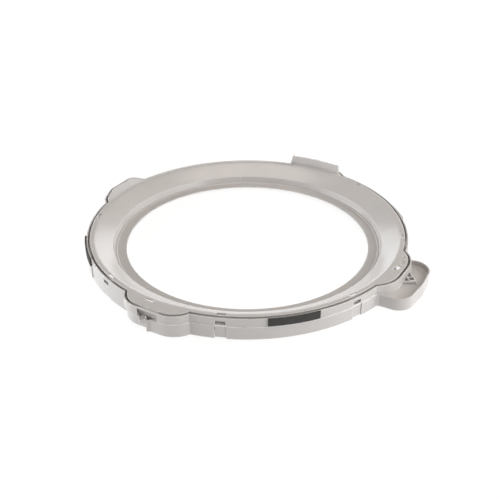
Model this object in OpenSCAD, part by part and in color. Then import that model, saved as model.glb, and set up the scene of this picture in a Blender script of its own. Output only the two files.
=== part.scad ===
// Washing machine tub ring: a moulded ring that clips over the rim of the outer tub.
// The ring's axis is Z, the skirt stands on z = 0, and azimuths run anticlockwise from +X.

/* [Skirt] */
// Outer radius of the skirt's lower band
skirt_r = 281; // [270:0.5:290]
// Height of the skirt's top edge
skirt_h = 35.5; // [34:0.5:38]
// Height of the ledge between the lower and the upper band
ledge_h = 22; // [18:0.5:23]
// How far the lower band stands proud of the upper band
ledge_proud = 1.4; // [0.8:0.1:2]
// Thickness of the skirt's upper band
upper_wall = 2.2; // [1.6:0.1:2.6]
// Thickness of the skirt's lower band
lower_wall = 2.6; // [2:0.1:3]

/* [Groove] */
// Width of the open groove between the shelf and the skirt
groove_w = 3.6; // [3:0.1:5]
// Thickness of the wall on the groove's inner side
inner_wall = 2; // [1.6:0.1:2.4]
// Thickness of the groove's floor
groove_floor = 2.5; // [2:0.1:3]
// Height at which the inner wall ends above the base
inner_wall_z = 8; // [4:0.5:12]

/* [Funnel] */
// Height of the flat shelf round the funnel
shelf_h = 36.5; // [35:0.5:38]
// Width of the shelf from the funnel's edge to the groove
shelf_w = 5.9; // [5.5:0.1:7]
// Width of the funnel seen from above
funnel_w = 31.8; // [28:0.2:34]
// Height of the shoulder where the funnel meets the step
shoulder_h = 18.5; // [16:0.5:20]
// Radius of the rounding where the funnel meets the shelf
crest_r = 8; // [5:0.5:10]
// Angle by which the funnel bows away from a straight sheet where it meets the rounding
funnel_bow = 4.3423; // [1:0.0001:6]
// Lean of the step, as its width seen from above
step_w = 2.8; // [2:0.1:4]
// Width of the raised band at the foot of the step
band_w = 4.3; // [3:0.1:5]
// Height of the raised band's top
band_h = 8.2; // [7.6:0.1:9]
// Width of the flat flange inside the raised band
flange_w = 16; // [12:0.5:18]
// Height of the flange's top
flange_h = 7.4; // [6:0.1:7.5]
// Thickness of the sheet of the flange, funnel and shelf
sheet = 2.4; // [2:0.1:2.6]
// Rounding of the flange's inner edge
flange_round = 0.9; // [0.5:0.1:1.5]
// Rounding of the raised band's edge towards the step
band_round = 0.8; // [0.4:0.1:1.2]

// Azimuth of the gate mark on the step
gate_az = 93.4; // [80:0.1:120]
// Width of the gate mark
gate_w = 3; // [2:0.5:4]
// Height of the gate mark
gate_h = 5; // [3:0.5:6]
// How far the gate mark stands out from the step
gate_proud = 0.6; // [0.3:0.1:1]

/* [Lobes] */
// Radius of each bulge on the two side lobes
side_lobe_r = 58.6; // [50:0.2:62]
// Reach of the bulges' centres inside the upper band, on the side lobes
side_lobe_in = 42.6; // [40:0.2:46]
// Azimuths of the right lobe's two bulges
right_lobe_az = [324.9, 332.7]; // [320:0.1:340]
// Azimuths of the two bulges of the lobe behind the tab
back_lobe_az = [55.4, 61.4]; // [50:0.1:65]
// Radius of the two bulges on the front lobe
front_lobe_r = 42.6; // [38:0.2:46]
// Reach of the bulges' centres inside the upper band, on the front lobe
front_lobe_in = 24.4; // [22:0.2:26]
// Azimuths of the front lobe's two bulges
front_lobe_az = [234.6, 244.6]; // [230:0.1:250]
// Centre offset from the upper band, azimuth and radius of the left lobe's corners
left_lobe = [[-14, 138.2, 13.5], [11, 140.6, 15], [1.5, 150, 20.8], [-23.5, 154.8, 36.5]];
// Azimuths between which the skirt has no ledge, from the left strip to the front bracket
flush_az = [203.6, 240.4]; // [200:0.1:245]
// How far the front lobe's lower wall is set back there
front_recess = 3.4; // [2:0.1:5]

/* [Latches] */
// Number of latch stations round the skirt
latch_count = 8; // [4:1:8]
// Azimuth of the first latch station
latch_az = 36.7; // [34:0.1:39]
// Width of the window above each latch finger
window_w = 15.5; // [12:0.5:17]
// Height of each window
window_h = 6.5; // [5:0.5:8]
// Height of the strip between the ledge and each window
window_strip = 2; // [1.5:0.5:3]
// Width of each latch finger
finger_w = 17; // [14:0.5:20]
// Width of the slit on each side of a finger
slit_w = 0.5; // [0.4:0.1:1.5]
// Clearance of the finger's tip above the base
finger_tip_z = 1.5; // [1:0.5:4]
// Height of the barb inside the finger's tip
barb_h = 6; // [4:0.5:8]
// Inward reach of the barb
barb_reach = 1.6; // [1:0.1:1.8]
// Length of the slot in the shelf above each latch
slot_l = 14.5; // [10:0.5:15]
// Width of each slot in the shelf
slot_w = 4.6; // [3:0.1:4.8]

/* [Swell and strips] */
// Azimuth of the step of the swell on the right of the skirt
swell_az = 5.7; // [4:0.1:7]
// Height of the swell's step above the upper band
swell_rise = 2.4; // [1:0.1:3]
// Angle over which the swell tapers down to the band
swell_arc = 12; // [8:0.5:14]
// Thickness of the foam strips
foam_t = 2.7; // [2:0.1:4]
// Height of the foam strips
foam_h = 13.2; // [10:0.2:13.4]
// How far the foam strips stand above the skirt's top edge
foam_rise = 1; // [0:0.2:2]
// Start and end of the front strip's azimuth
front_foam_az = [276.1, 292.6]; // [270:0.1:300]
// Start and end of the left strip's azimuth
left_foam_az = [187, 203.6]; // [180:0.1:210]
// Thickness of the glue behind a strip
glue_t = 0.1; // [0.05:0.05:0.2]

/* [Tab] */
// Start and end of the tab's azimuth, the end taken at the tab's top
tab_az = [49.4, 70.4]; // [45:0.1:75]
// Lean of the tab's end edge from upright
tab_end_lean = 13; // [0:0.5:20]
// How far the tab stands proud of the upper band
tab_proud = 0.4; // [0.2:0.1:1]
// Height of the tab's top edge
tab_h = 52.9; // [45:0.1:60]
// Thickness of the tab
tab_t = 2.3; // [1.8:0.1:3]
// Thickness of the three ribs behind the tab
tab_rib_t = 2.4; // [1.6:0.1:3]
// Height of the ribs' tips above the tab's edge
tab_rib_tip = 1; // [0.5:0.1:2]
// Reach of the ribs behind the tab at their foot
tab_rib_foot = 8.5; // [6:0.5:10]
// Reach of the ribs behind the tab below their tips
tab_rib_head = 3.4; // [2:0.1:4]

/* [Tray] */
// Centre offset from the upper band, azimuth and radius of the tray's corners
tray_corners = [[-12.2, 319.2, 16], [19.8, 322.3, 25.7], [1.6, 329.2, 45], [16.2, 334.5, 29.9]];
// Thickness of the tray's wall
tray_wall = 2.2; // [1.6:0.1:3]
// Thickness of the tray's floor
tray_floor = 2.4; // [2:0.1:3]
// Height of the tray's rim and floor at the front corner
tray_h = 20.8; // [18:0.2:22]
// Slope of the tray's rim, rising towards the back corner
tray_rim_slope = 2; // [1:0.1:3]
// Slope of the tray's floor, falling towards the back corner
tray_floor_slope = 1.8; // [0.5:0.1:2.5]
// Direction in which the tray slopes, as an angle from +X
tray_dir = 40.2; // [30:0.1:50]
// Azimuth on the upper band from which the tray's slopes run
tray_pivot_az = 316; // [312:0.5:320]

/* [Brackets] */
// Outer radius of the boss rings on both brackets
boss_r = 6.2; // [5.8:0.1:6.4]
// Radius of the holes in the boss rings
boss_hole_r = 4.7; // [3:0.1:4.8]
// Thickness of the brackets' walls and struts
strut = 1.8; // [1.4:0.1:2.2]
// Offset of the tray's boss from the upper band, and its azimuth
tray_boss = [24.6, 329.6];
// Height of the tray's bracket
tray_bracket_h = 24; // [22:0.2:26]
// Offset of the front boss from the upper band, and its azimuth
front_boss = [19.5, 238.36];
// Height of the front bracket's top
front_bracket_h = 21; // [19:0.2:21.6]
// Thickness of the front bracket
front_bracket_t = 5.4; // [4:0.2:6]
// Length of the front bracket to the right of its boss
front_bracket_l = 22.7; // [20:0.1:25]
// Height of the rim left above the front bracket's window
window_rim = 2; // [1.5:0.1:3]
// Start of the foot below the front bracket, to the right of its boss
front_foot_x = 5.2; // [5:0.1:6]
// Width of the foot below the front bracket
front_foot_w = 10; // [8:0.1:12]

/* [Shelf slots] */
// Centre offset from the upper band and azimuth of the slot in the front lobe's shelf
front_slot = [-6.2, 237.3];
// Corner offset from the upper band, azimuth and heading of the right lobe's front and back scoop
scoops = [[-3.7, 330.5, 47.5], [3.3, 336.8, -112]];
// Length, width and depth of each scoop's ramp
scoop_ramps = [[13.5, 8, 5.6], [8, 5, 4]];
// Length of the through hole at the foot of each scoop's ramp
scoop_hole = 5; // [3:0.5:6]
// Thickness of the ramps' floors and cheeks
scoop_wall = 1.6; // [1.2:0.1:2]
// Corner offset from the upper band, azimuth and heading of the dip between the scoops
dip = [-2.1, 334.8, -22];
// Length, width and depth of the dip
dip_size = [7.5, 15, 1.8];

/* [Hidden] */
$fn = 96;

// Plan sizes, from the skirt inwards
rim_r = skirt_r - ledge_proud;
shelf_r = rim_r - upper_wall - groove_w;
foot_r = shelf_r - shelf_w;
shoulder_r = foot_r - funnel_w;
step_r = shoulder_r - step_w;
band_r = step_r - band_w;
opening_r = band_r - flange_w;

// Offsets of the walls from the upper band's outer face
inner_off = -upper_wall - groove_w;
inner_back = inner_off - inner_wall;
lower_back = ledge_proud - lower_wall;

// The crest's arc ends level on the shelf, and the funnel's arc runs on from it to the shoulder
shoulder = [shoulder_r, shoulder_h];
crest_c = [foot_r, shelf_h - crest_r];
crest_rise = crest_c - shoulder;
crest_slope = atan2(crest_rise.y, crest_rise.x) + asin(crest_r / norm(crest_rise)) - funnel_bow;
crest_dir = [-sin(crest_slope), cos(crest_slope)];
crest_end = crest_c + crest_r * crest_dir;
funnel_span = crest_end - shoulder;
funnel_arc_r = (funnel_span * funnel_span) / (funnel_span * crest_dir) / 2;
funnel_c = crest_end - funnel_arc_r * crest_dir;
shoulder_dir = shoulder - funnel_c;
step_lean = atan2(step_w, shoulder_h - band_h);

// Small lengths that let a cut or a joint run past a face
over = 1;
eps = 0.02;
sink = 0.4;

// Widths of the raised band's lean and of the flange's bevel underneath
band_lean = 0.6;
flange_bevel = 0.4;

latch_step = 360 / latch_count;
swell_shift = swell_rise / sin(swell_arc);
window_z = ledge_h + window_strip;
floor_z = ledge_h - groove_floor;

// A point at a radius and an azimuth
function polar(r, az) = r * [cos(az), sin(az)];

// A centre given by its offset from the upper band and its azimuth
function on_rim(off, az) = polar(rim_r + off, az);

// Points of an arc of the circle at c, from angle a to angle b
function arc(c, r, a, b, n) = [for (i = [0:n]) c + polar(r, a + (b - a) * i / n)];

// The arc that rounds corner q between p and s with radius r
function corner(p, q, s, r, n = 5) =
    let (u = (p - q) / norm(p - q),
         v = (s - q) / norm(s - q),
         half = acos(u * v) / 2,
         c = q + (u + v) / norm(u + v) * r / sin(half),
         t1 = q + u * r / tan(half) - c,
         a = atan2(t1.y, t1.x),
         turn = (u.x * v.y - u.y * v.x > 0 ? -1 : 1) * (180 - 2 * half))
    arc(c, r, a, a + turn, n);

// A closed outline from corners given as [x, y, rounding]
function rounded(pts) =
    let (n = len(pts))
    [for (i = [0:n - 1])
        let (p = pts[(i + n - 1) % n], q = pts[i], s = pts[(i + 1) % n])
        each q.z > 0 ? corner([p.x, p.y], [q.x, q.y], [s.x, s.y], q.z) : [[q.x, q.y]]];

// A wedge of the plan between two azimuths
module wedge(a, b) {
    reach = 2 * skirt_r;
    polygon([[0, 0], polar(reach, a), polar(reach, (a + b) / 2), polar(reach, b)]);
}

// A straight link between two circles of a chain, just inside their common tangents
module link(p, r, q, s) {
    d = norm(q - p);
    turn = asin((r - s) / d);
    along = atan2(q.y - p.y, q.x - p.x);
    left = 90 - turn;
    polygon([p + polar(r - eps, along + left), q + polar(s - eps, along + left),
             q + polar(s - eps, along - left), p + polar(r - eps, along - left)]);
}

// A filled outline round a chain of circles, each given as [offset, azimuth, radius]
module chain(circles, grow = 0) {
    if (len(circles) > 2) polygon([for (c = circles) on_rim(c[0], c[1])]);
    for (c = circles) translate(on_rim(c[0], c[1])) circle(r = c[2] + grow);
    for (i = [1:len(circles) - 1]) {
        a = circles[i - 1];
        b = circles[i];
        link(on_rim(a[0], a[1]), a[2] + grow, on_rim(b[0], b[1]), b[2] + grow);
    }
}

// Outline of the skirt with its lobes, grown from the upper band's outer face
module plan(grow = 0) {
    circle(r = rim_r + grow, $fn = 360);
    chain([for (a = right_lobe_az) [-side_lobe_in, a, side_lobe_r]], grow);
    chain([for (a = back_lobe_az) [-side_lobe_in, a, side_lobe_r]], grow);
    chain([for (a = front_lobe_az) [-front_lobe_in, a, front_lobe_r]], grow);
    chain(left_lobe, grow);
}

// A wall that follows the skirt between two offsets
module wall(outer, inner, z0, z1) {
    translate([0, 0, z0]) linear_extrude(z1 - z0) difference() {
        plan(outer);
        plan(inner);
    }
}

// Outline of the swell that tapers from its step down to the upper band
module swell() {
    intersection() {
        wedge(swell_az, swell_az + swell_arc);
        translate(polar(swell_shift, swell_az + swell_arc - 90)) circle(r = rim_r, $fn = 360);
    }
}

// Section of the flange, raised band, step, funnel, crest and the start of the shelf
module funnel_section() {
    back = sheet / cos(step_lean);
    under = flange_h - sheet + flange_bevel;
    low = atan2(shoulder_dir.y, shoulder_dir.x);
    high = 90 + crest_slope;
    polygon(concat(
        rounded([[opening_r, under, 0], [opening_r, flange_h, flange_round],
                 [band_r, flange_h, 0], [band_r + band_lean, band_h, band_round / 2],
                 [step_r, band_h, band_round], [shoulder_r, shoulder_h, 0]]),
        arc(funnel_c, funnel_arc_r, low, high, 12),
        arc(crest_c, crest_r, high, 90, 6),
        [[foot_r + shelf_w / 2, shelf_h], [foot_r + shelf_w / 2, shelf_h - sheet]],
        arc(crest_c, crest_r - sheet, 90, high, 6),
        arc(funnel_c, funnel_arc_r - sheet, high, low, 12),
        [[step_r + back, under]]));
}

// Places its children at every latch station, with the upper band's face at x = 0
module latches() {
    for (k = [0:latch_count - 1])
        rotate(latch_az + latch_step * k) translate([rim_r, 0]) children();
}

// The shelf outside the funnel, which follows the lobes out to the groove
module shelf() {
    translate([0, 0, shelf_h - sheet]) linear_extrude(sheet) difference() {
        plan(inner_off);
        circle(r = foot_r + shelf_w / 4, $fn = 360);
    }
}

// Skirt's upper band with its swell
module upper_band() {
    translate([0, 0, floor_z]) linear_extrude(skirt_h - floor_z) difference() {
        union() {
            plan();
            swell();
        }
        plan(-upper_wall);
    }
}

// Outline of the stretch without a ledge, where the front lobe's wall is set back
module flush_plan(grow = 0) {
    circle(r = rim_r + grow, $fn = 360);
    chain([for (a = front_lobe_az) [-front_lobe_in, a, front_lobe_r]], grow - front_recess);
}

// Skirt's lower band, cut away at the latches and without its ledge beside the front bracket
module lower_band() {
    cut_w = finger_w + 2 * slit_w;
    web_arc = 0.5;
    linear_extrude(ledge_h) difference() {
        union() {
            difference() {
                plan(ledge_proud);
                plan(lower_back);
                wedge(flush_az[0], flush_az[1]);
            }
            intersection() {
                difference() {
                    flush_plan();
                    flush_plan(-lower_wall);
                }
                wedge(flush_az[0] - web_arc, flush_az[1] + web_arc);
            }
            intersection() {
                difference() {
                    plan(lower_back / 2);
                    flush_plan(-lower_wall / 2);
                }
                wedge(flush_az[1] - web_arc, flush_az[1] + web_arc);
            }
        }
        latches() translate([-upper_wall - over, -cut_w / 2])
            square([upper_wall + ledge_proud + 2 * over, cut_w]);
    }
}

// A latch finger that hangs from the groove's floor, with a barb inside its tip
module finger() {
    intersection() {
        translate([-rim_r, 0, finger_tip_z]) difference() {
            cylinder(r = rim_r, h = floor_z + over - finger_tip_z, $fn = 360);
            translate([0, 0, -over])
                cylinder(r = rim_r - upper_wall, h = floor_z + 2 * over, $fn = 360);
        }
        translate([-2 * upper_wall, -finger_w / 2, 0]) cube([3 * upper_wall, finger_w, ledge_h]);
    }
    translate([-upper_wall + sink, finger_w / 2, finger_tip_z]) rotate([90, 0, 0])
        linear_extrude(finger_w) polygon([[0, 0], [0, barb_h], [-barb_reach - sink, barb_h]]);
}

// The window in the upper band and the slot in the shelf above one latch
module latch_cuts() {
    translate([-upper_wall - over, -window_w / 2, window_z])
        cube([upper_wall + 2 * over, window_w, window_h]);
    translate([inner_back - slot_w, -slot_l / 2, shelf_h - 2 * sheet])
        cube([slot_w, slot_l, 3 * sheet]);
}

// The curved tab that stands on the back lobe, with its three ribs
module tab() {
    outer_r = rim_r + tab_proud;
    foot_z = skirt_h - sink;
    tip = tab_h + tab_rib_tip - foot_z;
    tip_drop = 3;
    first_inset = 0.9;
    last_inset = 0.4;
    difference() {
        translate([0, 0, foot_z]) linear_extrude(tab_h - foot_z) intersection() {
            difference() {
                circle(r = outer_r, $fn = 360);
                circle(r = outer_r - tab_t, $fn = 360);
            }
            wedge(tab_az[0], tab_az[1] + 2);
        }
        rotate(tab_az[1]) translate([outer_r, 0, tab_h]) rotate([tab_end_lean, 0, 0])
            translate([-tab_h / 2, 0, -tab_h]) cube([tab_h, tab_h, 2 * tab_h]);
    }
    for (a = [tab_az[0] + first_inset, (tab_az[0] + tab_az[1]) / 2, tab_az[1] - last_inset])
        rotate(a) translate([rim_r, tab_rib_t / 2, foot_z]) rotate([90, 0, 0])
            linear_extrude(tab_rib_t)
                polygon([[-tab_t / 2, 0], [tab_rib_foot, 0], [tab_rib_head, tip - tip_drop],
                         [tab_rib_head / 3, tip], [-tab_t / 2, tip]]);
}

// A slab below a plane that tilts about the tray's front corner
module below_tilt(h, slope) {
    big = 400;
    pivot = polar(rim_r, tray_pivot_az);
    translate([pivot.x, pivot.y, h]) rotate(tray_dir) rotate([0, -slope, 0])
        translate([-big / 2, -big / 2, -big]) cube([big, big, big]);
}

// The open tray outside the right lobe
module tray() {
    intersection() {
        linear_extrude(2 * tray_h) difference() {
            chain(tray_corners);
            chain(tray_corners, -tray_wall);
            plan(-upper_wall / 2);
        }
        below_tilt(tray_h, tray_rim_slope);
    }
    intersection() {
        linear_extrude(2 * tray_h) difference() {
            chain(tray_corners, -tray_wall / 2);
            plan(-upper_wall / 2);
        }
        difference() {
            below_tilt(tray_h, -tray_floor_slope);
            below_tilt(tray_h - tray_floor, -tray_floor_slope);
        }
    }
}

// A frame with a boss ring at its origin, open between its struts, in plan. The frame ends at
// the wall whose offset is `back`, which a strut from the ring meets at the angle `tie`.
module bracket_outline(corners, inner, boss, back, tie) {
    difference() {
        union() {
            polygon(corners);
            circle(r = boss_r);
        }
        translate(-boss) plan(back - inner_wall / 2);
        bracket_gaps(inner, boss, back, tie);
        circle(r = boss_hole_r);
    }
}

// The open spaces of a bracket's frame, beside its boss ring and its tie
module bracket_gaps(inner, boss, back, tie) {
    difference() {
        polygon(inner);
        circle(r = boss_r);
        translate(-boss) plan(back);
        rotate(tie) translate([0, -strut / 2]) square([3 * boss_r, strut]);
    }
}

// Corners of the tray bracket's frame round its boss, in plan, and the corners of its gaps
tray_tie = 148;
tray_frame = [[boss_r - 5, 21], [-20, -boss_r - 6.8], [-17, -boss_r - 2.2], [boss_r + 0.6, -boss_r - 2.2]];
tray_gaps = [[boss_r - 6, 18.4], [-24, -20], [-15, -boss_r - 0.4], [boss_r - 1.4, -boss_r - 0.4]];

// The raised bracket on the tray's floor
module tray_bracket() {
    boss = on_rim(tray_boss[0], tray_boss[1]);
    base = tray_h / 2;
    translate([boss.x, boss.y, base]) linear_extrude(tray_bracket_h - base)
        bracket_outline(tray_frame, tray_gaps, boss, 0, tray_tie);
}

// Everything that stands inside the tray's bracket, taken out of the floor
module tray_bracket_cut() {
    boss = on_rim(tray_boss[0], tray_boss[1]);
    cut_inset = 1;
    translate([boss.x, boss.y, tray_h / 2 - over]) linear_extrude(tray_h) difference() {
        union() {
            polygon([tray_frame[0] - cut_inset * [1, 2], tray_frame[1] + cut_inset * [0, 1],
                     tray_frame[2] + cut_inset * [1, 1], tray_frame[3] + cut_inset * [-1, 1]]);
            circle(r = (boss_r + boss_hole_r) / 2);
        }
        translate(-boss) plan();
    }
}

// Sides of the front bracket's frame, from its boss
front_left = -boss_r - 2.4;
front_edge = -boss_r + 0.4;
front_tie = 62;
front_depth = 30;

// Corners of the front bracket's frame in plan, pulled in by d from its outer edge
function front_frame(d) = [
    [front_left + d, 13], [front_edge + d, 0], [front_edge + d, front_edge / 2],
    [front_edge + 2 + d / 2, front_edge + d], [front_bracket_l - d, front_edge + d],
    [front_bracket_l, front_edge + 2 + 2 * d], [front_bracket_l, 8], [front_left + d, 21]];

// The front bracket's plate, with the hollow foot that carries it
module front_bracket() {
    boss = on_rim(front_boss[0], front_boss[1]);
    under = front_bracket_h - front_bracket_t;
    foot_depth = 16;
    translate([boss.x, boss.y, under]) linear_extrude(front_bracket_t)
        bracket_outline(front_frame(0), front_frame(strut), boss, inner_off, front_tie);
    translate([boss.x + front_foot_x, boss.y + front_edge, 0]) linear_extrude(under + sink) difference() {
        square([front_foot_w, foot_depth]);
        translate([strut, strut]) square([front_foot_w - 2 * strut, foot_depth]);
        translate(-boss - [front_foot_x, front_edge]) flush_plan(-lower_wall / 2);
    }
}

// The window in the front lobe's wall above its bracket, and the openings down through it
module front_bracket_cuts() {
    boss = on_rim(front_boss[0], front_boss[1]);
    top = skirt_h - window_rim;
    translate([boss.x, boss.y, front_bracket_h]) linear_extrude(top - front_bracket_h) difference() {
        translate([front_left, -front_depth]) square([front_bracket_l - front_left, 2 * front_depth]);
        translate(-boss) plan(inner_off);
    }
    translate([boss.x, boss.y, front_bracket_h - front_bracket_t - over])
        linear_extrude(front_bracket_t + 2 * over)
            bracket_gaps(front_frame(strut), boss, inner_off, front_tie);
    translate([boss.x, boss.y, front_bracket_h - front_bracket_t - over])
        cylinder(r = boss_hole_r, h = front_bracket_t + 3 * over);
}

// A ramp that runs down along +X from the shelf, as the solid that is cut away
module ramp(l, w, d) {
    rotate([90, 0, 0]) linear_extrude(w) polygon([[0, 0], [l, -d], [l, over], [0, over]]);
}

// Places its children at a point on the shelf, given as offset, azimuth and heading
module on_shelf(p) {
    c = on_rim(p[0], p[1]);
    translate([c.x, c.y, shelf_h]) rotate(p[2]) children();
}

// The floors and cheeks of the right lobe's scoops, below the shelf
module scoop_bodies() {
    for (k = [0:len(scoops) - 1]) {
        l = scoop_ramps[k][0];
        w = scoop_ramps[k][1];
        d = scoop_ramps[k][2];
        on_shelf(scoops[k]) translate([-l, scoop_wall, 0]) rotate([90, 0, 0])
            linear_extrude(w + 2 * scoop_wall)
                polygon([[0, -sheet / 2], [0, -sheet / 2 - scoop_wall],
                         [l, -d - scoop_wall], [l, -sheet / 2]]);
    }
}

// Slots, scoops and the dip in the shelf of the front and the right lobe
module shelf_slots() {
    on_shelf([front_slot[0], front_slot[1], front_slot[1]])
        translate([-slot_w / 2, -slot_l / 2, -2 * sheet]) cube([slot_w, slot_l, 3 * sheet]);
    for (k = [0:len(scoops) - 1]) {
        l = scoop_ramps[k][0];
        w = scoop_ramps[k][1];
        d = scoop_ramps[k][2];
        on_shelf(scoops[k]) {
            translate([-l, 0, 0]) ramp(l, w, d);
            translate([-eps, -w, -d - 2 * scoop_wall]) cube([scoop_hole, w, d + 2 * scoop_wall + over]);
        }
    }
    on_shelf(dip) ramp(dip_size[0], dip_size[1], dip_size[2]);
}

// The small mark that the moulding gate leaves on the step
module gate_mark() {
    up = 0.7;
    mid = [step_r, band_h] + up * [step_w, shoulder_h - band_h];
    rotate(gate_az) translate([mid.x, 0, mid.y]) rotate([0, step_lean, 0])
        translate([-gate_proud, -gate_w / 2, -gate_h / 2]) cube([over, gate_w, gate_h]);
}

module tub_ring() {
    color("gainsboro") difference() {
        union() {
            rotate_extrude($fn = 360) funnel_section();
            gate_mark();
            shelf();
            scoop_bodies();
            upper_band();
            wall(inner_off, inner_back, inner_wall_z, shelf_h);
            wall(0, inner_back, floor_z, ledge_h);
            lower_band();
            latches() finger();
            tab();
            difference() {
                tray();
                tray_bracket_cut();
            }
            tray_bracket();
            front_bracket();
        }
        latches() latch_cuts();
        front_bracket_cuts();
        shelf_slots();
    }
}

// A foam strip glued to the skirt's upper band between two azimuths
module foam_strip(az) {
    color("dimgray") translate([0, 0, skirt_h + foam_rise - foam_h]) linear_extrude(foam_h)
        intersection() {
            difference() {
                circle(r = rim_r + glue_t + foam_t, $fn = 360);
                circle(r = rim_r + glue_t, $fn = 360);
            }
            wedge(az[0], az[1]);
        }
}

module foam_strip_front() {
    foam_strip(front_foam_az);
}

module foam_strip_left() {
    foam_strip(left_foam_az);
}

tub_ring();
foam_strip_front();
foam_strip_left();
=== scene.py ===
import math

import bmesh
import bpy
from mathutils import Matrix, Vector


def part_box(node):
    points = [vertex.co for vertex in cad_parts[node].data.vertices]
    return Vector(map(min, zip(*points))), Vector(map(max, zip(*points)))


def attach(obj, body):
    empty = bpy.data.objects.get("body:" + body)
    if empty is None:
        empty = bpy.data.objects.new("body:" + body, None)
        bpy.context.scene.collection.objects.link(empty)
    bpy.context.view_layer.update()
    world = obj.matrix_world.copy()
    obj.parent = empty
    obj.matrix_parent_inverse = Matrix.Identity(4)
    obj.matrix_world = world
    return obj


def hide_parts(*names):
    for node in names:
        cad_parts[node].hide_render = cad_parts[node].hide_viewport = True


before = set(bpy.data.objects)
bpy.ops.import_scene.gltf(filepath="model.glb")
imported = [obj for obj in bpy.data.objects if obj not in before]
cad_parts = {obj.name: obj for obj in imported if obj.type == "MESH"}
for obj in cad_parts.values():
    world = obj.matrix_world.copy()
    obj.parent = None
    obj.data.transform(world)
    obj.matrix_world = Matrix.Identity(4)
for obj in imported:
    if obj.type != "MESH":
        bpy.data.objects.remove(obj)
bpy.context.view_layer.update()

# Viewpoint
# The ring was photographed from its front at about thirty degrees above the table, from about
# five ring radii away, with the lens turned a fraction of a degree off the ring's axis.
view_distance = 1.38856
view_elevation = 0.53114026
view_yaw = 0.00326512
view_pitch = -0.00861756
view_roll = -0.00324769
sensor_mm = 36
lens_mm = 55.93

ahead = Vector((0, math.cos(view_elevation), -math.sin(view_elevation)))
aside = Vector((1, 0, 0))
above = aside.cross(ahead)
ahead, aside = (ahead * math.cos(view_yaw) + aside * math.sin(view_yaw),
                aside * math.cos(view_yaw) - ahead * math.sin(view_yaw))
ahead, above = (ahead * math.cos(view_pitch) + above * math.sin(view_pitch),
                above * math.cos(view_pitch) - ahead * math.sin(view_pitch))
aside, above = (aside * math.cos(view_roll) + above * math.sin(view_roll),
                above * math.cos(view_roll) - aside * math.sin(view_roll))

lens = bpy.data.cameras.new("camera")
lens.sensor_width = sensor_mm
lens.lens = lens_mm
camera = bpy.data.objects.new("camera", lens)
camera.matrix_world = Matrix((aside, above, -ahead)).transposed().to_4x4()
camera.location = (0, -view_distance * math.cos(view_elevation),
                   view_distance * math.sin(view_elevation))
bpy.context.scene.collection.objects.link(camera)
bpy.context.scene.camera = camera


# Table
# A light table of milky white acrylic, lit from below, so that it takes no shadow and its light
# comes up through the ring's slots and windows.
class Shade:
    """A shader socket that takes part in sums, and makes the nodes that a material needs."""

    def __init__(self, tree, socket=None):
        self.tree = tree
        self.socket = socket

    def put(self, kind, outlet=0, settings=None, **inputs):
        node = self.tree.nodes.new(kind)
        for name, value in (settings or {}).items():
            setattr(node, name, value)
        for name, value in inputs.items():
            key = int(name[1:]) if name[1:].isdigit() else name.replace("_", " ")
            if isinstance(value, Shade):
                self.tree.links.new(value.socket, node.inputs[key])
            else:
                node.inputs[key].default_value = value
        return Shade(self.tree, node.outputs[outlet])

    def math(self, operation, *others):
        values = {"i%d" % (n + 1): other for n, other in enumerate(others)}
        return self.put("ShaderNodeMath", settings={"operation": operation}, i0=self, **values)

    def __add__(self, other):
        return self.math("ADD", other)

    __radd__ = __add__

    def __sub__(self, other):
        return self.math("SUBTRACT", other)

    def __rsub__(self, other):
        return self.put("ShaderNodeMath", settings={"operation": "SUBTRACT"}, i0=other, i1=self)

    def __mul__(self, other):
        return self.math("MULTIPLY", other)

    __rmul__ = __mul__

    def blend(self, low, high):
        return self.put("ShaderNodeMix", 2, {"data_type": "RGBA"}, i0=self, i6=low, i7=high)

    def feed(self, skin, name):
        self.tree.links.new(self.socket, skin.inputs[name])


def new_material(name):
    material = bpy.data.materials.new(name)
    material.use_nodes = True
    return material, material.node_tree.nodes["Principled BSDF"], Shade(material.node_tree)


table_size = 60
table_drop = 0.0002
table_glow = 0.85

sheet = bmesh.new()
bmesh.ops.create_grid(sheet, x_segments=1, y_segments=1, size=table_size / 2)
bmesh.ops.translate(sheet, verts=sheet.verts, vec=(0, 0, -table_drop))
table_mesh = bpy.data.meshes.new("table")
sheet.to_mesh(table_mesh)
sheet.free()
table = bpy.data.objects.new("table", table_mesh)
bpy.context.scene.collection.objects.link(table)

table_paint, skin, shade = new_material("table_paint")
mottle = shade.put("ShaderNodeTexNoise", Scale=30.0, Detail=3.0)
mottle.blend((0.14, 0.14, 0.14, 1), (0.17, 0.17, 0.17, 1)).feed(skin, "Base Color")
skin.inputs["Roughness"].default_value = 0.8
skin.inputs["Emission Color"].default_value = (1, 1, 1, 1)
skin.inputs["Emission Strength"].default_value = table_glow
table_mesh.materials.append(table_paint)

# Studio light
# Soft boxes stand left, right, above and in front of the table, all turned to its middle, and a
# low lit wall behind it gives the bright line along the ring's front crest. The room is dim.
room_light = 0.08
warm = (1, 0.93, 0.86)
cool = (0.95, 0.98, 1)

room = bpy.data.worlds.new("room")
room.use_nodes = True
room.node_tree.nodes["Background"].inputs["Color"].default_value = (1, 1, 1, 1)
room.node_tree.nodes["Background"].inputs["Strength"].default_value = room_light
bpy.context.scene.world = room


def soft_box(name, place, width, height, power, colour):
    lamp = bpy.data.lights.new(name, "AREA")
    lamp.color = colour
    lamp.shape = "RECTANGLE"
    lamp.size = width
    lamp.size_y = height
    lamp.energy = power
    holder = bpy.data.objects.new(name, lamp)
    holder.location = place
    holder.rotation_euler = (-Vector(place)).to_track_quat("-Z", "Y").to_euler()
    bpy.context.scene.collection.objects.link(holder)


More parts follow.
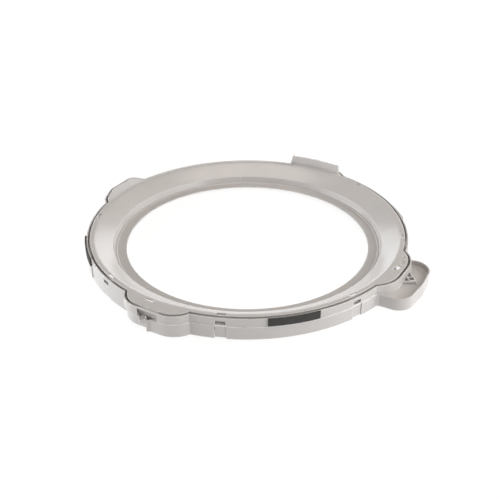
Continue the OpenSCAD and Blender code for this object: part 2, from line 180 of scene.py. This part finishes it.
soft_box("left_box", (-2.2, 0.2, 0.4), 1.8, 0.7, 52, cool)
soft_box("right_box", (2.2, 0.2, 0.4), 1.8, 0.7, 13, cool)
soft_box("right_high_box", (2.2, 0.2, 1.3), 1.8, 1.0, 27, warm)
soft_box("right_front_box", (1.8, -1.2, 0.5), 1.2, 0.9, 20, cool)
soft_box("back_wall", (0, 2.6, 0.6), 4.5, 1.18, 38, cool)
soft_box("top_box", (0, 0, 2.5), 1.8, 1.8, 27, warm)
soft_box("front_high_box", (0, -2.2, 2.0), 3.0, 1.2, 11, warm)
soft_box("front_box", (0, -2.6, 0.6), 2.4, 1.0, 5, warm)

bpy.context.scene.view_settings.view_transform = "Standard"

# Ring
# The ring is one injection moulding in light warm grey polypropylene, with a fine satin texture
# from the mould, a faint cloudiness from the flow of the melt, and edges that are slightly
# rounded and carry a painted highlight. Its shelf is crowned a little towards the funnel.
ring_dark = (0.44, 0.417, 0.406, 1)
ring_light = (0.525, 0.502, 0.489, 1)
ring_cool = (0.465, 0.464, 0.47, 1)
# Colour of the painted highlight on convex edges and along the ledge
ring_highlight = (0.8, 0.785, 0.775, 1)
ring_roughness = 0.21
ring_ior = 1.55
edge_rounding = 0.0013
edge_depth = 0.0012
ledge_height = 0.022
ledge_line = 0.0007
bare_stretches = ((-156.4, -119.6), (-45, -20))
edge_gain = 1.6
# Strength of the painted highlight on convex edges
edge_highlight_strength = 0.85
# Strength of the painted highlight along the ledge
ledge_highlight_strength = 0.75
grain_scale = 700
grain_depth = 0.00004
grain_tone = 1.2
grain_gloss = 0.1
cloud_scale = 16
tint_scale = 130
tint_start = 0.35
tint_gain = 1.2
shelf_start = 0.2655
crown_width = 0.011
crown_slope = 0.11

satin_plastic, skin, shade = new_material("satin_plastic")
place = shade.put("ShaderNodeTexCoord", "Object")
grain = shade.put("ShaderNodeTexNoise", Vector=place, Scale=grain_scale, Detail=4.0)
cloud = shade.put("ShaderNodeTexNoise", Vector=place, Scale=cloud_scale, Detail=3.0)
tint = shade.put("ShaderNodeTexNoise", Vector=place, Scale=tint_scale, Detail=2.0)
solid = shade.put("ShaderNodeAmbientOcclusion", "AO",
                  {"samples": 8, "inside": True, "only_local": True}, Distance=edge_depth)
# Convex edges, found by occlusion from inside the solid, get a painted highlight
edge_highlight = ((1 - solid) * edge_gain).math("MINIMUM", 1) * edge_highlight_strength
body = ((grain - 0.5) * grain_tone + cloud).blend(ring_dark, ring_light)
body = ((tint - tint_start) * tint_gain).math("MAXIMUM", 0).blend(body, ring_cool)

# A painted highlight along the ledge's corner lifts the shade there, except where the skirt has none
# and beside the tray
flat_place = shade.put("ShaderNodeVectorMath", settings={"operation": "MULTIPLY"},
                       i0=place, i1=(1, 1, 0))
radius = shade.put("ShaderNodeVectorMath", "Value", {"operation": "LENGTH"}, i0=flat_place)
x, y, height = (shade.put("ShaderNodeSeparateXYZ", axis, Vector=place) for axis in "XYZ")
off_ledge = (height - ledge_height).math("ABSOLUTE") * (1 / ledge_line)
ledge_highlight = (edge_gain - off_ledge).math("MAXIMUM", 0).math("MINIMUM", ledge_highlight_strength)
ledge_highlight = ledge_highlight * radius.math("GREATER_THAN", shelf_start)
turn = y.math("ARCTAN2", x)
for low, high in bare_stretches:
    ledge_highlight = ledge_highlight * (1 - turn.math("GREATER_THAN", math.radians(low))
                     * turn.math("LESS_THAN", math.radians(high)))
edge_highlight.math("MAXIMUM", ledge_highlight).blend(body, ring_highlight).feed(skin, "Base Color")
(ring_roughness + grain_gloss * (grain - 0.5)).feed(skin, "Roughness")

# Towards the funnel the shelf curves down a little, and all edges are rounded
to_level = (shelf_start + crown_width - radius) * (1 / crown_width)
to_level = to_level.math("MAXIMUM", 0).math("MINIMUM", 1)
crown = to_level * to_level * (-0.5 * crown_slope * crown_width)
rounded = shade.put("ShaderNodeBevel", settings={"samples": 6}, Radius=edge_rounding)
crowned = shade.put("ShaderNodeBump", Strength=1.0, Distance=1.0, Height=crown, Normal=rounded)
relief = shade.put("ShaderNodeBump", Strength=0.3, Distance=grain_depth, Height=grain,
                   Normal=crowned)
relief.feed(skin, "Normal")
skin.inputs["IOR"].default_value = ring_ior
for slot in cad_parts["tub_ring"].material_slots:
    slot.material = satin_plastic

# Foam strips
# Two strips of black closed cell foam are stuck to the outside of the skirt, where they keep
# the ring from rattling against the cabinet. They are cut from sheet with a knife, so that
# their edges wander a little and their faces show the cells.
foam_dark = (0.018, 0.0175, 0.017, 1)
foam_light = (0.06, 0.058, 0.055, 1)
foam_rounding = 0.0007
foam_wander = 0.0003
foam_step = 0.0006
cell_scale = 1100
cell_depth = 0.0002
cell_tone = 0.5
patch_scale = 160.0
patch_tone = 0.6
tone_start = 0.1
foam_roughness = 0.78
patch_roughness = 0.15
swell_scale = 90.0
wander_scale = 140.0

cut_foam, skin, shade = new_material("cut_foam")
place = shade.put("ShaderNodeTexCoord", "Object")
cells = shade.put("ShaderNodeTexVoronoi", Vector=place, Scale=cell_scale)
patches = shade.put("ShaderNodeTexNoise", Vector=place, Scale=patch_scale, Detail=3.0)
tone = cell_tone * cells + patch_tone * patches - tone_start
tone.blend(foam_dark, foam_light).feed(skin, "Base Color")
(foam_roughness + patch_roughness * patches).feed(skin, "Roughness")
shade.put("ShaderNodeBump", Strength=0.5, Distance=cell_depth, Height=cells).feed(skin, "Normal")

# The strip as a block that is bent round the skirt: x runs along it, y outwards and z up
strip = bpy.data.node_groups.new("foam_strip", "GeometryNodeTree")
strip_sizes = {}
for name in ("Radius", "Start", "End", "Thickness", "Height", "Bottom", "Rounding", "Wander",
             "Step", "Seed", "Finish"):
    kind = "NodeSocketMaterial" if name == "Finish" else "NodeSocketFloat"
    strip_sizes[name] = strip.interface.new_socket(name, in_out="INPUT", socket_type=kind).identifier
strip.interface.new_socket("Geometry", in_out="OUTPUT", socket_type="NodeSocketGeometry")


class Form(Shade):
    """A geometry socket or field with the same sums, for the tree that makes the strips."""

    def put(self, kind, outlet=0, settings=None, **inputs):
        made = super().put(kind, outlet, settings, **inputs)
        return Form(self.tree, made.socket)


form = Form(strip)
given = strip.nodes.new("NodeGroupInput")
size = {name: Form(strip, given.outputs[name]) for name in strip_sizes}
length = size["Radius"] * (size["End"] - size["Start"])
along_count = length.math("DIVIDE", size["Step"])
up_count = size["Height"].math("DIVIDE", size["Step"])
block = form.put("GeometryNodeMeshCube", "Mesh", Vertices_X=along_count, Vertices_Y=6,
                 Vertices_Z=up_count)
spot = form.put("GeometryNodeInputPosition")
x, y, z = (form.put("ShaderNodeSeparateXYZ", axis, Vector=spot) for axis in "XYZ")
out = y + 0.5
side = length * (0.5 - x.math("ABSOLUTE"))
rise = size["Height"] * (0.5 - z.math("ABSOLUTE"))
inset = size["Rounding"] - side.math("MINIMUM", rise)
inset = inset.math("MAXIMUM", 0)
drop = size["Rounding"] - (size["Rounding"] * size["Rounding"] - inset * inset).math("SQRT")
reach = form.put("ShaderNodeCombineXYZ", X=x * length, Y=z * size["Height"], Z=size["Seed"])
edge_reach = form.put("ShaderNodeCombineXYZ", X=x * length, Y=z.math("SIGN"), Z=size["Seed"])
swell = form.put("ShaderNodeTexNoise", Vector=reach, Scale=swell_scale, Detail=3.0) - 0.5
wander = form.put("ShaderNodeTexNoise", Vector=edge_reach, Scale=wander_scale, Detail=3.0) - 0.5
radius = size["Radius"] + out * (size["Thickness"] - drop + size["Wander"] * swell)
angle = (size["End"] + size["Start"]) * 0.5 - x * (size["End"] - size["Start"])
height = size["Bottom"] + size["Height"] * (z + 0.5) + size["Wander"] * 2 * z * wander
bent = form.put("ShaderNodeCombineXYZ", X=radius * angle.math("COSINE"),
                Y=radius * angle.math("SINE"), Z=height)
moved = form.put("GeometryNodeSetPosition", Geometry=block, Position=bent)
smooth = form.put("GeometryNodeSetShadeSmooth", Geometry=moved)
real = form.put("GeometryNodeRealizeInstances", Geometry=smooth)
painted = form.put("GeometryNodeSetMaterial", Geometry=real, Material=size["Finish"])
strip.links.new(painted.socket, strip.nodes.new("NodeGroupOutput").inputs[0])


def foam_strip(name, node, seed):
    low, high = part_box(node)
    spots = [v.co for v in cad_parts[node].data.vertices]
    inner = min(math.hypot(s.x, s.y) for s in spots)
    outer = max(math.hypot(s.x, s.y) for s in spots)
    turns = [math.atan2(s.y, s.x) % math.tau for s in spots]
    carrier = bpy.data.objects.new(name + "_block", bpy.data.meshes.new(name + "_block"))
    bpy.context.scene.collection.objects.link(carrier)
    maker = carrier.modifiers.new("strip", "NODES")
    maker.node_group = strip
    for key, value in (("Radius", inner), ("Start", min(turns)), ("End", max(turns)),
                       ("Thickness", outer - inner), ("Height", high[2] - low[2]),
                       ("Bottom", low[2]), ("Rounding", foam_rounding), ("Wander", foam_wander),
                       ("Step", foam_step), ("Seed", seed), ("Finish", cut_foam)):
        maker[strip_sizes[key]] = value
    bpy.context.view_layer.update()
    made = carrier.evaluated_get(bpy.context.evaluated_depsgraph_get())
    block = bpy.data.meshes.new_from_object(made)
    bpy.data.objects.remove(carrier)
    block.materials.clear()
    block.materials.append(cut_foam)
    for face in block.polygons:
        face.material_index = 0
    piece = bpy.data.objects.new(name, block)
    bpy.context.scene.collection.objects.link(piece)
    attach(piece, "root")
    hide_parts(node)


foam_strip("front_foam", "foam_strip_front", 3.7)
foam_strip("left_foam", "foam_strip_left", 8.2)
